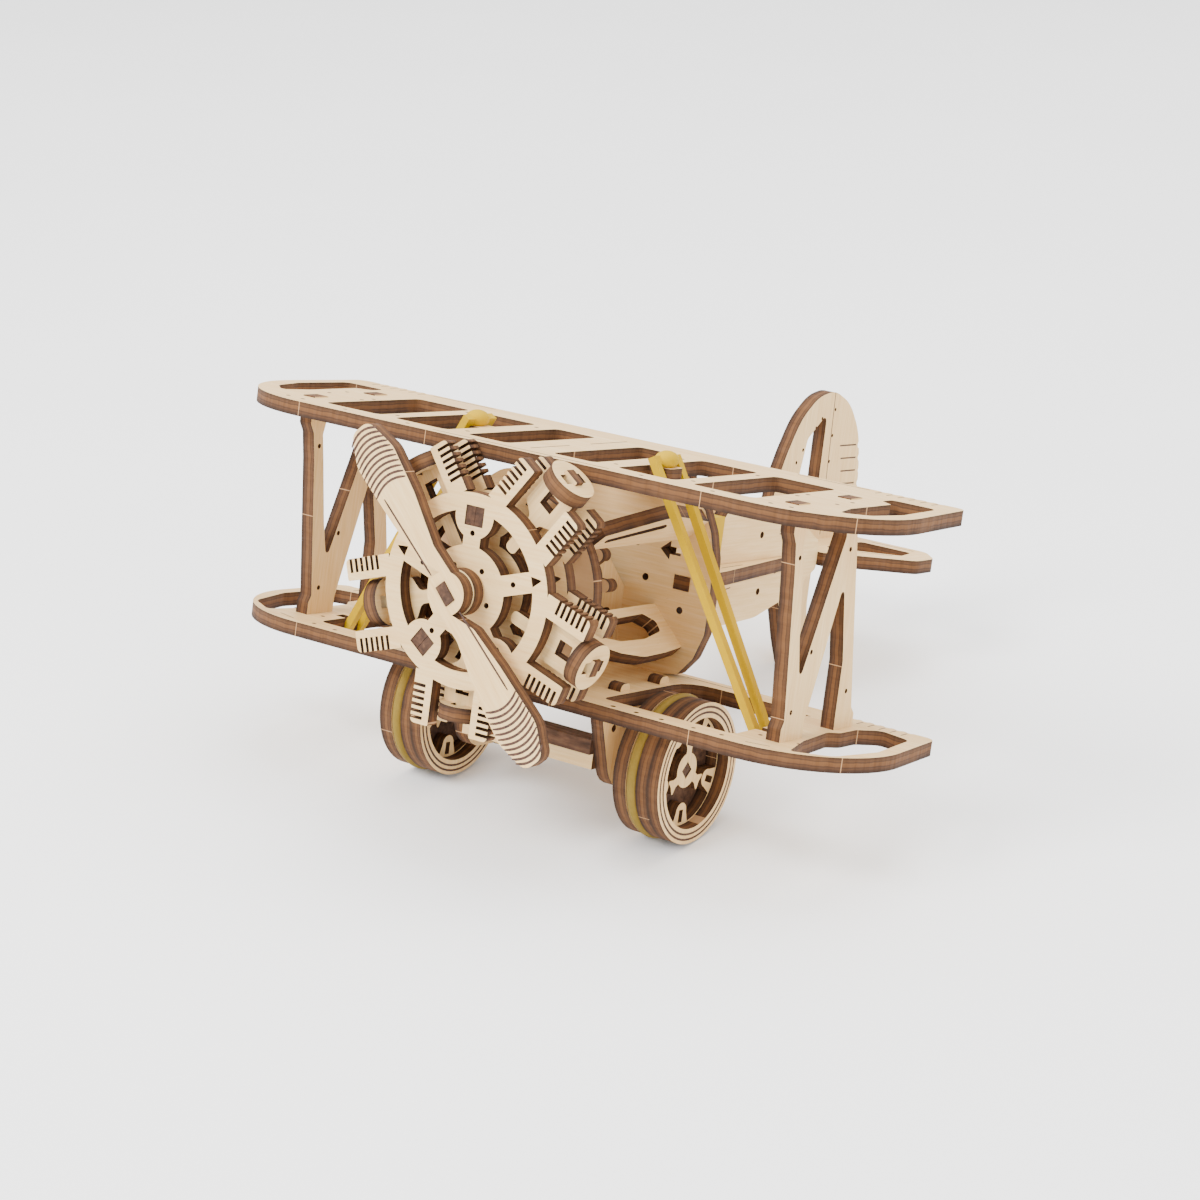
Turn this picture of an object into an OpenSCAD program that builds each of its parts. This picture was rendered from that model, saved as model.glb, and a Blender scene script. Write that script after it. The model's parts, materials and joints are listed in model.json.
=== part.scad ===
// Laser-cut plywood biplane kit: two wings on N-shaped struts, a five-cylinder radial
// engine whose crank is driven from the wheel axle by a belt and a right-angle gear pair.
// The airframe is drawn level, nose towards -Y, with Z = 0 on the lower wing's top face,
// and is then pitched nose-up until both wheels and the tail skid stand on the ground.

/* [Sheet] */
// thickness of the plywood sheet
t = 3; // [2.6:0.1:3.2]

/* [Wings] */
// half the wing span
half_span = 77; // [76:0.25:79]
// height of the gap between the two wings
gap = 43.2; // [42:0.2:46]
// distance from the leading edge to the trailing edge, upper wing
upper_chord = 47.6; // [47:0.2:50]
// distance from the leading edge to the trailing edge, lower wing
lower_chord = 43.6; // [43:0.2:46]
// how far the upper wing sits ahead of the lower one
stagger = 5.6; // [5:0.1:5.6]
// distance of the N struts from the centre line
strut_x = 58; // [57.5:0.25:58.5]

/* [Engine] */
// height of the engine axis above the lower wing
engine_z = 18.8; // [18.4:0.1:19.2]
// outer radius of the rim of the star plates
rim_r = 19.2; // [18.8:0.1:19.6]
// radius at the end of the cylinder bars
bar_r = 28; // [27:0.25:29]
// crank throw, half of the piston stroke
throw = 3.4; // [2.4:0.2:3.4]
// crank angle of the pose that is drawn, seen from the front
crank_angle = 40; // [0:5:355]
// length of one propeller blade from the axis
blade_r = 37.2; // [35:0.2:38]
// angle of the propeller in the pose that is drawn
blade_angle = 133; // [0:1:359]

/* [Wheels] */
// radius of a wheel
wheel_r = 14.5; // [14:0.1:15]
// distance of the axle behind the lower leading edge
axle_y = 23; // [22:0.1:24]
// height of the axle, negative is under the lower wing
axle_z = -14; // [-14.6:0.1:-13.6]
// distance from the centre line to the outer face of the wheels
track_x = 34.5; // [34:0.1:36]
// radius of the pulley on the axle
axle_pulley_r = 4.4; // [4:0.1:4.4]
// radius of the pulley on the cross shaft
cross_pulley_r = 4.4; // [4:0.1:6]

/* [Attitude] */
// nose-up angle when the model stands on its wheels and skid
pitch = 13.3; // [12:0.1:14.5]

/* [Hidden] */
$fn = 48;
birch = [0.87, 0.74, 0.55];
burnt = [0.47, 0.31, 0.21];
elastic = [0.86, 0.66, 0.16];
khaki = [0.59, 0.49, 0.25];
slip = 0.05;                  // clearance of a tenon or a shaft in its hole, each side
shaft_r = 1.6;
axle_r = 2;
star_y = -15.4;               // front face of the front star plate
star_gap = 3.6;               // space between the star plates
rear_star_y = star_y + t + star_gap;
rod_t = 2.4;                  // the pistons and rods are cut from thinner sheet
rod_y = star_y + t + 0.25;
spacer_y = star_y - 0.4 - t;
prop_y = spacer_y - t;
firewall_y = 0;
prop_gear_y = 20.5;           // front face of the gear on the propeller shaft
prop_lobes = 8;
cross_lobes = 5;
lobe_r = 1.35;
lobe_pitch_r = 8.2;           // of the larger gear
cross_y = prop_gear_y + t / 2 + lobe_pitch_r * cross_lobes / prop_lobes + 0.8;
cross_gear_x = -9.7;
pulley_x = -11.8;             // middle of both pulleys
bearing_y = 24.5;             // front edge of the bearings
frame_y = 39;                 // front face of the body frame
fin_tilt = 43.5;              // angle of the cowl fins from the horizontal plane
tail_side_x = 8;              // inner face of a tail side
leg_x = 16.1;                 // inner face of a landing gear leg
cap_mean_r = 26.4;            // mean radius of a piston crown
cap_r = 4.85;
rod_inner_r = 4.5;            // a rod's inner end at the bottom of its stroke
post_r = 14.7;
post_angles = [90, 234, 306];
cylinder_angles = [54, 126, 198, 270, 342];
spoke_angles = [18, 90, 162, 234, 306];
tail_top_z = 21;              // top face of the tail plate
wheel_layers = [3, 2.4, 2.6, 2.6];
wheel_w = wheel_layers[0] + wheel_layers[1] + wheel_layers[2] + wheel_layers[3];
tyre_r = wheel_r + 0.4;
stand_z = tyre_r + axle_y * sin(pitch) - axle_z * cos(pitch);
centre_shift_y = -57.526;     // puts the origin under the middle of the outline
upper_le = -stagger;
skid_y0 = 112.5;
skid_y1 = 119;

// ---- helpers -----------------------------------------------------------------------

// turns a level piece into the standing attitude
module posed() {
    translate([0, centre_shift_y, stand_z]) rotate([-pitch, 0, 0]) children();
}

// a sheet lying flat with its lower face at z0; the outline is in X and Y
module flat_sheet(z0, thick = t) {
    translate([0, 0, z0]) linear_extrude(thick) children();
}

// an upright sheet along the flight direction from x0; the outline is in Y and Z
module side_sheet(x0, thick = t) {
    translate([x0, 0, 0]) rotate([90, 0, 90]) linear_extrude(thick) children();
}

// an upright sheet across the flight direction from y0; the outline is in X and Z
module cross_sheet(y0, thick = t) {
    translate([0, y0 + thick, 0]) rotate([90, 0, 0]) linear_extrude(thick) children();
}

function unit(v) = v / norm(v);

// the points that round corner p, between its neighbours a and b, to radius r
function corner(a, p, b, r, n = 4) =
    let (u = unit(a - p), v = unit(b - p), half = acos(max(-1, min(1, u * v))) / 2)
    (r <= 0 || half > 88) ? [p] :
    let (c = p + unit(u + v) * r / sin(half),
         s = p + u * r / tan(half) - c,
         e = p + v * r / tan(half) - c,
         a0 = atan2(s[1], s[0]),
         sweep = ((atan2(e[1], e[0]) - a0 + 900) % 360) - 180)
    [for (i = [0:n]) c + r * [cos(a0 + sweep * i / n), sin(a0 + sweep * i / n)]];

function xy(p) = [p[0], p[1]];

// twice the area inside an outline, positive when it runs anticlockwise
function signed_area(q) = let (m = len(q))
    [for (i = [0:m - 1]) cross(q[i], q[(i + 1) % m])] * [for (i = [0:m - 1]) 1];

function anticlockwise(q) = signed_area(q) < 0 ? [for (i = [len(q) - 1:-1:0]) q[i]] : q;

// an outline from corners written as [x, y, radius]
function rounded(p, n = 4) = let (m = len(p)) anticlockwise(
    [for (i = [0:m - 1])
        each corner(xy(p[(i + m - 1) % m]), xy(p[i]), xy(p[(i + 1) % m]), p[i][2], n)]);

function mirrored(p) = [for (i = [len(p) - 1:-1:0]) [-p[i][0], p[i][1], p[i][2]]];

module box2(x0, y0, x1, y1) {
    translate([x0, y0]) square([x1 - x0, y1 - y0]);
}

module both_sides() {
    children();
    mirror([1, 0]) children();
}

// a flat ring or disc outline
module ring2(r_out, r_in = 0) {
    difference() {
        circle(r_out);
        if (r_in > 0) circle(r_in);
    }
}

// a disc whose axis runs along X from x0
module x_disc(x0, w, r_out, y, z, r_in = 0) {
    translate([x0, y, z]) rotate([0, 90, 0]) difference() {
        cylinder(h = w, r = r_out);
        if (r_in > 0) translate([0, 0, -1]) cylinder(h = w + 2, r = r_in);
    }
}

// ---- wings -------------------------------------------------------------------------

// half of a wing outline with its rounded tip; the tip narrows towards the trailing edge
module wing_outline(le, chord) {
    right = [[half_span + 1.8, le, 23], [half_span - 2.2, le + chord, 2.5]];
    polygon(rounded(concat([[-1 * right[0][0], le, 23]], right,
        [[-1 * right[1][0], le + chord, 2.5]]), 24));
}

// the stepped cut-out inside a wing tip
module tip_cutout(le) {
    polygon(rounded([[67, le + 10.5, 1], [71.5, le + 15, 4], [73.4, le + 24, 3],
        [72.4, le + 39.5, 2], [62.6, le + 39.5, 1], [62.6, le + 35.5, 1],
        [65.6, le + 33.6, 1], [65.4, le + 18, 1]]));
}

// small scallops along the trailing edge near a tip
module edge_scallops(te) {
    for (i = [0:5]) translate([56.5 + 2.5 * i, te + 0.45]) circle(0.95, $fn = 24);
}

// the mortises of one N strut
module strut_mortises(y_front, y_rear) {
    for (y = [y_front, y_rear])
        box2(strut_x - t / 2 - slip, y - 2.2 - slip, strut_x + t / 2 + slip, y + 2.2 + slip);
}

module upper_wing() {
    color(birch) posed() flat_sheet(gap) difference() {
        wing_outline(upper_le, upper_chord);
        both_sides() {
            for (bay = [[5.4, 15.3], [20.5, 33.6], [37.6, 51.4]])
                difference() {
                    polygon(rounded([[bay[0], 0.2, 1.4], [bay[1], 0.2, 1.4],
                        [bay[1], 31.8, 1.4], [bay[0], 31.8, 1.4]]));
                    // the hook tongue that holds a bracing band
                    if (bay[0] == 20.5)
                        polygon(rounded([[20, 11.7, 0], [25.4, 11.7, 1], [25.4, 17, 1], [20, 17, 0]]));
                }
            tip_cutout(upper_le);
            edge_scallops(upper_le + upper_chord);
            strut_mortises(5.3, 25.3);
        }
    }
}

module lower_wing() {
    color(birch) posed() flat_sheet(-t) difference() {
        wing_outline(0.4, lower_chord);
        both_sides() {
            // the wheel well
            polygon(rounded([[20.6, 6.2, 1.5], [50.8, 6.2, 1.5], [50.8, 26, 2],
                [46.5, 33, 2], [46.5, 38.4, 1.5], [20.6, 38.4, 6]]));
            // two notches in its outer edge leave the hook of a bracing band between them
            for (y = [[14.6, 17.1], [19.1, 21.2]]) box2(49, y[0], 53.4, y[1]);
            // the wavy cut-out inside the tip
            polygon(rounded([[64, 4.8, 1], [71, 9.5, 4], [73.8, 22, 4], [72.2, 37.6, 2],
                [65, 39.6, 2], [61.8, 35, 2], [61.6, 29, 1.5], [59.9, 26.6, 1.5], [61.2, 15, 2]]));
            edge_scallops(0.4 + lower_chord);
            strut_mortises(13, 33.6);
            for (y = [16.5, 31])
                box2(leg_x - slip, y - 1.7 - slip, leg_x + t + slip, y + 1.7 + slip);
            for (x = [25.6, 31, 36.8])
                translate([x, 2.4]) circle(0.55, $fn = 16);
            translate([49.2, 35.4]) polygon([[-1.2, 1.4], [1.6, 0.8], [-1, -1.6]]);
        }
        // the slot the drive belt runs through
        translate([pulley_x, 0])
            polygon(rounded([[-2.6, 17.5, 1], [2.6, 17.5, 1], [2.6, 32.5, 1], [-2.6, 32.5, 1]]));
    }
}

// corners of a tenon through a wing, up (s = 1) or down (s = -1) from height z
function tenon(y, z, s) = [[y - 2.2 * s, z, 0], [y - 2.2 * s, z + s * (t + 0.2), 0],
    [y + 2.2 * s, z + s * (t + 0.2), 0], [y + 2.2 * s, z, 0]];

// the outline of one N strut in Y and Z, feet and heads with their tenons
module strut_outline() {
    k = gap - 43.4;
    difference() {
        polygon(rounded(concat([[8.7, 0, 0], [8.7, 2.6, 0.6], [9.5, 4, 1], [5.2, 33.5 + k, 1],
            [4.1, 39 + k, 1], [2.8, 41 + k, 0.6], [2.8, gap, 0]], tenon(5.3, gap, 1),
            [[7.8, gap, 0], [7.8, 41 + k, 0.6], [7.2, 38.6 + k, 1], [8.3, 33.3 + k, 1],
            [10.9, 19.6, 1], [13, 11.4, 0.7], [20, 30 + k, 1], [23.6, 39.4 + k, 1],
            [22.7, 41 + k, 0.6], [22.7, gap, 0]], tenon(25.3, gap, 1),
            [[28, gap, 0], [28, 41 + k, 0.6], [27.8, 39.3 + k, 1], [33.6, 13.4, 1],
            [35.8, 4, 1], [37.2, 2.6, 0.6], [37.2, 0, 0]], tenon(33.6, 0, -1),
            [[29.8, 0, 0], [29.6, 3, 1], [29.4, 14, 1], [25.4, 30.2 + k, 0.7],
            [17.4, 3.4, 1], [17.2, 0, 0]], tenon(13, 0, -1))));
        for (p = [[6.4, 36], [25.8, 36.4], [16.2, 17], [32.6, 7.6], [11.6, 5.6]])
            translate(p) circle(0.5, $fn = 16);
    }
}

module strut(side) {
    color(birch) posed() side_sheet(side * strut_x - t / 2) strut_outline();
}

// ---- fuselage ----------------------------------------------------------------------

// the plate across the body behind the gears; it carries the upper wing and the tail
module body_frame() {
    right = [[13, 0, 0], [16.9, 0.6, 1], [20.2, 4.6, 3], [22.1, 10, 4], [22.2, 17, 0],
        [21.8, 25.6, 4], [20.4, 31, 4], [18.2, 35.4, 2], [14.5, 37.2, 1], [13, gap, 0]];
    color(birch) posed() cross_sheet(frame_y) difference() {
        polygon(rounded(concat(right, mirrored(right)), 6));
        both_sides() {
            // the mortise of the tail plate
            box2(13.3 - slip, tail_top_z - t - slip, 17 + slip, tail_top_z + slip);
            // the arrow slot
            polygon([[9, 25.6], [11.4, 27.6], [11.4, 26.4], [14, 26.4], [14, 24.8],
                [11.4, 24.8], [11.4, 23.6]]);
            for (p = [[3.3, 25.8], [6.3, 19], [15.5, 13.8]]) translate(p) circle(0.75, $fn = 20);
        }
    }
}

// an upright cheek from the wing to the body frame, with the bore of the cross shaft
module bearing(x0) {
    color(birch) posed() difference() {
        side_sheet(x0) difference() {
            polygon(rounded([[bearing_y, 0, 0], [bearing_y, 23.5, 3], [31, 23.5, 3],
                [frame_y, 16, 0], [frame_y, 0, 0]], 6));
            polygon(rounded([[28, 4, 1.5], [35, 4, 1.5], [35, 12, 1.5], [30, 12, 1.5]]));
        }
        x_disc(x0 - 1, t + 2, shaft_r + slip, cross_y, engine_z);
    }
}

module tail_side(side) {
    x0 = side > 0 ? tail_side_x : -tail_side_x - t;
    color(birch) posed() side_sheet(x0) difference() {
        polygon(rounded([[42, 11.4, 0], [47.8, 11.4, 2], [59.8, 7.2, 4], [77.8, 8, 14],
            [92.8, 12, 14], [102.3, 17.2, 1], [102.3, 23.4, 2], [94.8, 27.4, 6], [72.8, 34, 8],
            [63.3, 35, 1], [59.5, 30.6, 0.4], [50.2, 30.6, 0.4], [48.5, 35.4, 1], [42, 35.4, 0]]));
        // the slot the tail plate slides into
        box2(41, tail_top_z - t - slip, 95.2, tail_top_z + slip);
        // the slot for the lower run of the elastic ring
        box2(50.4, tail_top_z - slip, 58.4, tail_top_z + 1.5);
        for (p = [[76.4, 26.4], [78, 13.8]]) translate(p) circle(0.75, $fn = 20);
    }
}

// the tail plate with the tailplane; its middle carries the fin
module tail_plate() {
    right = [[13.3, 42, 0], [13.3, 38.8, 0], [17, 38.8, 0], [17, 44, 1], [16, 56, 2],
        [11.6, 88, 10], [11.4, 102, 10], [27.4, 119, 4], [27.4, 127, 4], [22, 133.5, 4],
        [3.4, 133.5, 1]];
    color(birch) posed() flat_sheet(tail_top_z - t) difference() {
        polygon(rounded(concat(right, mirrored(right)), 6));
        both_sides() {
            polygon(rounded([[8, 110, 1], [22, 121.5, 1], [21, 128, 1.5], [8, 128, 1]]));
            // notches for the tail sides
            box2(tail_side_x - slip, 95.2, 12.6, 102.4);
            polygon(rounded([[4, 60, 1.2], [7.6, 60, 1.2], [7.6, 80, 1.2], [4, 80, 1.2]]));
        }
        // mortises of the fin and of the skid
        for (y = [99, 114]) box2(-t / 2 - slip, y - 3 - slip, t / 2 + slip, y + 3 + slip);
    }
}

// fin and rudder are one sheet; the hinge is only an engraved line
module fin() {
    function rear_edge(z) = z < 36 ? 134.6 - 0.04 * (z - 21) : 134 - 0.31 * (z - 36);
    color(birch) posed() side_sheet(-t / 2) difference() {
        polygon(rounded([[93.4, tail_top_z, 0.5], [97.3, 38.3, 40], [103.6, 49.2, 16],
            [110, 54, 12], [117, 55.4, 10], [125, 52.4, 14], [131, 45.6, 16], [134, 36, 40],
            [134.6, tail_top_z, 0.5],
            [117, tail_top_z, 0], [117, tail_top_z - t / 2, 0], [111, tail_top_z - t / 2, 0],
            [111, tail_top_z, 0], [102, tail_top_z, 0], [102, tail_top_z - t / 2, 0],
            [96, tail_top_z - t / 2, 0], [96, tail_top_z, 0]], 10));
        polygon(rounded([[104.2, 27, 1.2], [107.6, 44.6, 2], [114.9, 50.2, 1], [115.6, 27, 1.2]]));
        for (i = [0:6]) translate([99.4 + 2.25 * i, 33 + 3.4 * i - 0.12 * i * i]) circle(0.4, $fn = 16);
        for (i = [0:4]) translate([119.4 - 0.25 * i, 27 + 6 * i]) circle(0.4, $fn = 16);
        for (z = [24.5:3:42.5]) translate([rear_edge(z) + 0.45, z]) circle(0.95, $fn = 24);
    }
}

module tail_skid() {
    function ground_z(y) = (y * sin(pitch) - stand_z) / cos(pitch);
    color(birch) posed() side_sheet(-t / 2) difference() {
        union() {
            polygon(rounded([[95.5, tail_top_z - t, 0], [95.5, 15.4, 2], [104, 9, 4],
                [109, -2, 4], [skid_y0, ground_z(skid_y0), 0.4],
                [skid_y1, ground_z(skid_y1), 0.4], [skid_y1 + 1, ground_z(skid_y1) + 3, 2],
                [118.2, 6.3, 4], [118, tail_top_z - t, 0]]));
            for (y = [99, 114]) box2(y - 3, tail_top_z - t - 0.5, y + 3, tail_top_z - t / 2 - 0.02);
        }
        polygon(rounded([[106, 14.4, 1.5], [114.4, 14.4, 1.5], [115, 2.6, 1.5], [111.6, 2.6, 1.5]]));
    }
}

module firewall() {
    color(burnt) posed() translate([0, firewall_y + t, engine_z]) rotate([90, 0, 0]) difference() {
        cylinder(h = t, r = 19.4, $fn = 72);
        translate([0, 0, -1]) cylinder(h = t + 2, r = shaft_r + slip);
        translate([-20, -engine_z - 5, -1]) cube([40, 5, t + 2]);
        for (a = post_angles) rotate([0, 0, a]) translate([post_r, 0, t / 2])
            cube([3.8 + 2 * slip, 4.2 + 2 * slip, t + 2], center = true);
    }
}

// The four cowl fins are sheets along the body. The outer face of each one lies in a plane
// through the engine axis; in its outline X is the distance from that axis.
module cowl_fin(side, up) {
    turn = side > 0 ? up * fin_tilt : 180 - up * fin_tilt;
    color(birch) posed() translate([0, 0, engine_z]) rotate([0, -turn, 0])
        translate([0, 0, side * up > 0 ? -t : 0]) linear_extrude(t) children();
}

module upper_fin(side) {
    cowl_fin(side, 1) difference() {
        polygon(rounded([[17.5, 3, 0], [22.5, 3, 0], [27.8, 22, 16], [24, frame_y, 0],
            [17.5, frame_y, 0]], 6));
        polygon(rounded([[19.6, 6, 0.6], [20.8, 5, 0.6], [24.8, 22, 1], [23.4, 24, 0.5]]));
    }
}

// the drive belt passes through the left fin, which is open towards the gears
module lower_fin(side) {
    cowl_fin(side, -1) difference() {
        polygon(rounded([[10.1, 3, 0], [15.5, 3, 0], [17.5, 11, 4], [20.1, 17, 8],
            [21.8, 24, 12], [21.6, 32, 12], [21, frame_y, 0], [10.1, frame_y, 0]], 6));
        polygon(rounded([[13.3, 12, 0.8], [12.3, 20.5, 2], [12.1, 32.4, 1], [14.2, 35.4, 1],
            [16.6, 35, 1], [17.8, 28, 6], [17.5, 19.5, 3], [15.9, 14, 0.8]]));
        if (side < 0) box2(9, 21.5, 13.6, 33.8);
    }
}

// ---- engine ------------------------------------------------------------------------

// one star plate: hub, spokes, rim and five pairs of finned cylinder bars
module star_outline() {
    bar_in = 5;
    bar_w = 4.3;
    difference() {
        union() {
            ring2(rim_r, 15.7);
            circle(9, $fn = 40);
            for (a = spoke_angles) rotate(a) box2(8, -2, 16.2, 2);
            for (a = post_angles) rotate(a) translate([post_r, 0]) circle(4.5, $fn = 36);
            for (a = cylinder_angles, s = [-1, 1]) rotate(a)
                polygon(rounded([[17.4, s * bar_in, 0], [bar_r, s * bar_in, 0.3],
                    [bar_r, s * (bar_in + bar_w), 1], [17.2, s * (bar_in + bar_w), 0]]));
        }
        // cooling slots on the outer side of each bar
        for (a = cylinder_angles, s = [-1, 1], i = [0:5]) rotate(a)
            translate([20.3 + 1.3 * i, s * (bar_in + bar_w)]) square([0.65, 5.6], center = true);
        for (a = [18, 162]) rotate(a) polygon([[15.8, -1], [15.8, 1.1], [18.2, 0]]);
        for (a = spoke_angles) rotate(a) translate([11.4, 0]) circle(0.55, $fn = 16);
        for (a = cylinder_angles) rotate(a) translate([5.6, 0]) circle(0.55, $fn = 16);
        for (a = post_angles) rotate(a)
            box2(post_r - 1.9 - slip, -2.1 - slip, post_r + 1.9 + slip, 2.1 + slip);
    }
}

module star_plate(y0) {
    color(birch) posed() translate([0, 0, engine_z]) difference() {
        cross_sheet(y0) star_outline();
        translate([0, y0 + t + 1, 0]) rotate([90, 0, 0]) cylinder(h = t + 2, r = shaft_r + slip);
    }
}

// three posts, each of two strips side by side, tie the star plates to the firewall
module engine_posts() {
    color(burnt) posed() translate([0, 0, engine_z]) for (a = post_angles)
        rotate([0, -a, 0]) for (s = [-1, 1])
            translate([post_r - 1.9, star_y + 0.2, s > 0 ? 0.05 : -2.1])
                cube([3.8, firewall_y + t - star_y - 0.2, 2.05]);
}

function crown_r(a) = cap_mean_r + throw * cos(a - crank_angle);

// a piston with its rod, drawn along X and then turned to its cylinder
module piston(k) {
    a = cylinder_angles[k];
    r = crown_r(a);
    foot = r - (cap_mean_r - throw) + rod_inner_r;
    color(birch) posed() translate([0, 0, engine_z]) cross_sheet(rod_y, rod_t) rotate(a)
        difference() {
            union() {
                polygon(rounded([[foot, -1.3, 1], [r - 10, -1.3, 1.5], [r - 8.4, -4.2, 1],
                    [r - 1.5, -4.2, 0], [r - 1.5, 4.2, 0], [r - 8.4, 4.2, 1], [r - 10, 1.3, 1.5],
                    [foot, 1.3, 1]]));
                box2(r - 2, -1.7, r + 2.2, 1.7);
            }
            box2(r - 6.6, -1.6, r - 3.4, 1.6);
        }
}

// the round crown that a piston's tenon goes through
module piston_crown(k) {
    a = cylinder_angles[k];
    r = crown_r(a);
    y_mid = rod_y + rod_t / 2;
    color(birch) posed() translate([0, y_mid, engine_z]) rotate([0, -a, 0])
        translate([r - t / 2, 0, 0]) rotate([0, 90, 0]) difference() {
            cylinder(h = t, r = cap_r);
            translate([0, 0, t / 2]) {
                cube([3.4 + 2 * slip, rod_t + 2 * slip, t + 2], center = true);
                cube([rod_t, 6.2, t + 2], center = true);
            }
        }
}

// ---- propeller and its gear --------------------------------------------------------

function blade(s) = [[s * 0, -3.6 * s, 0], [s * 9, -2.8 * s, 3], [s * 20, -4.7 * s, 12],
    [s * 30, -5.4 * s, 6], [s * blade_r, -3 * s, 2.4], [s * blade_r, 1.8 * s, 2.4],
    [s * 31, 4.4 * s, 6], [s * 18, 3.2 * s, 12], [s * 9, 1.9 * s, 3]];

module propeller() {
    color(birch) posed() translate([0, 0, engine_z]) cross_sheet(prop_y) rotate(blade_angle)
        difference() {
            union() {
                circle(4.3, $fn = 40);
                for (s = [-1, 1]) polygon(rounded(blade(s), 6));
            }
            box2(-2.1 - slip, -1.2 - slip, 2.1 + slip, 1.2 + slip);
        }
}

module prop_spacer() {
    color(burnt) posed() translate([0, 0, engine_z]) cross_sheet(spacer_y) rotate(blade_angle)
        difference() {
            circle(4.6, $fn = 40);
            circle(shaft_r + slip);
        }
}

// the round shaft, with a flat tenon that shows in the middle of the propeller
module prop_shaft() {
    tenon_y = prop_y - 0.3;
    color(burnt) posed() translate([0, 0, engine_z]) {
        translate([0, spacer_y, 0]) rotate([-90, 0, 0])
            cylinder(h = prop_gear_y + t + 0.6 - spacer_y, r = shaft_r);
        translate([0, tenon_y, 0]) rotate([0, -blade_angle, 0]) translate([-2.1, 0, -1.2])
            cube([4.2, spacer_y - tenon_y, 2.4]);
    }
}

// the crank web and its pin; the rods stop short of the pin
module crank() {
    web_y = rear_star_y - 0.15 - 0.65;
    color(burnt) posed() translate([0, 0, engine_z]) difference() {
        union() {
            cross_sheet(web_y, 0.65) {
                circle(3.2, $fn = 36);
                rotate(crank_angle) translate([throw, 0]) circle(2, $fn = 30);
            }
            translate([throw * cos(crank_angle), web_y + 0.2, throw * sin(crank_angle)])
                rotate([90, 0, 0]) cylinder(h = 0.2 + web_y - rod_y, r = 0.8);
        }
        translate([0, web_y + 2, 0]) rotate([90, 0, 0]) cylinder(h = 4, r = shaft_r + slip);
    }
}

// a flat gear with round lobes for teeth, turned by phase degrees
module lobed_outline(count, pitch_r, root_r, phase) {
    difference() {
        rotate(phase) union() {
            circle(root_r, $fn = 40);
            for (i = [0:count - 1]) rotate(i * 360 / count) {
                translate([pitch_r, 0]) circle(lobe_r, $fn = 28);
                box2(root_r - 0.6, -1, pitch_r, 1);
            }
        }
        circle(shaft_r + slip);
        if (root_r > 5)
            rotate(phase) for (i = [0:3]) rotate(i * 90 + 45) translate([4, 0]) circle(0.8, $fn = 20);
    }
}

module prop_gear() {
    color(birch) posed() translate([0, 0, engine_z]) cross_sheet(prop_gear_y)
        lobed_outline(prop_lobes, lobe_pitch_r, 5.9, 0);
}

// ---- cross shaft, belt and axle ----------------------------------------------------

module cross_gear() {
    color(birch) posed() translate([0, cross_y, engine_z]) side_sheet(cross_gear_x)
        lobed_outline(cross_lobes, lobe_pitch_r * cross_lobes / prop_lobes, 3.4, 0);
}

module cross_shaft() {
    color(burnt) posed() x_disc(-14, 15.7, shaft_r, cross_y, engine_z);
}

// a pulley between two flanges
module pulley(r, bore, y, z) {
    color(birch) posed() difference() {
        union() {
            x_disc(pulley_x - 1.2, 2.4, r, y, z);
            for (s = [-1, 1]) x_disc(pulley_x + s * 1.5 - 0.4, 0.8, r + 1, y, z);
        }
        x_disc(pulley_x - 3, 6, bore + slip, y, z);
    }
}

// an open-belt outline: both wrapped arcs joined by the tangents, grow is the offset
function belt_path(grow) =
    let (d = [cross_y - axle_y, engine_z - axle_z], len = norm(d), dir = atan2(d[1], d[0]),
         r1 = axle_pulley_r + grow, r2 = cross_pulley_r + grow, b = acos((r1 - r2) / len))
    concat(
        [for (i = [0:16]) let (a = dir + b + i * (360 - 2 * b) / 16)
            [axle_y + r1 * cos(a), axle_z + r1 * sin(a)]],
        [for (i = [0:12]) let (a = dir - b + i * 2 * b / 12)
            [cross_y + r2 * cos(a), engine_z + r2 * sin(a)]]);

module drive_belt() {
    color(elastic) posed() side_sheet(pulley_x - 0.7, 1.4) difference() {
        polygon(belt_path(0.95));
        polygon(belt_path(0.3));
    }
}

// a round shaft whose right end is a square that fills the hole of the wheel hub
module axle() {
    hub_x = layer_x(1, 2);
    color(burnt) posed() {
        x_disc(-track_x + 2.8, hub_x + track_x - 2.8, axle_r, axle_y, axle_z);
        translate([hub_x - 0.1, axle_y, axle_z]) rotate([45, 0, 0]) translate([0, -1.2, -1.2])
            cube([wheel_layers[2] - 0.1, 2.4, 2.4]);
    }
}

// corners of the round-ended tab of a leg that shows above the lower wing
function leg_tab(y) = [[y - 1.7, -t, 0], [y - 1.7, 1.5, 1.2], [y + 1.7, 1.5, 1.2], [y + 1.7, -t, 0]];

module gear_leg(side) {
    x0 = side > 0 ? leg_x : -leg_x - t;
    color(birch) posed() difference() {
        side_sheet(x0) difference() {
            polygon(rounded(concat([[9.6, -t, 0]], leg_tab(16.5), leg_tab(31),
                [[35, -t, 0], [33, -6, 2], [29.2, -20, 6], [15.6, -20, 6], [10, -6, 2]])));
            translate([14.2, -7.4]) circle(0.75, $fn = 20);
            polygon(rounded([[24.6, -5.4, 0.5], [30.6, -5.4, 0.5], [28.8, -9.8, 0.5]]));
        }
        x_disc(x0 - 1, t + 2, axle_r + slip, axle_y, axle_z);
    }
}

// the bar that keeps the legs apart in front of the axle: a flat strip over an upright one
module spreader() {
    color(burnt) posed() translate([-leg_x, 11.2, -13.2]) cube([2 * leg_x, 4.4, t]);
}

module spreader_web() {
    color(birch) posed() translate([-leg_x, 12.6, -16.4]) cube([2 * leg_x, t, 3.2]);
}

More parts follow.
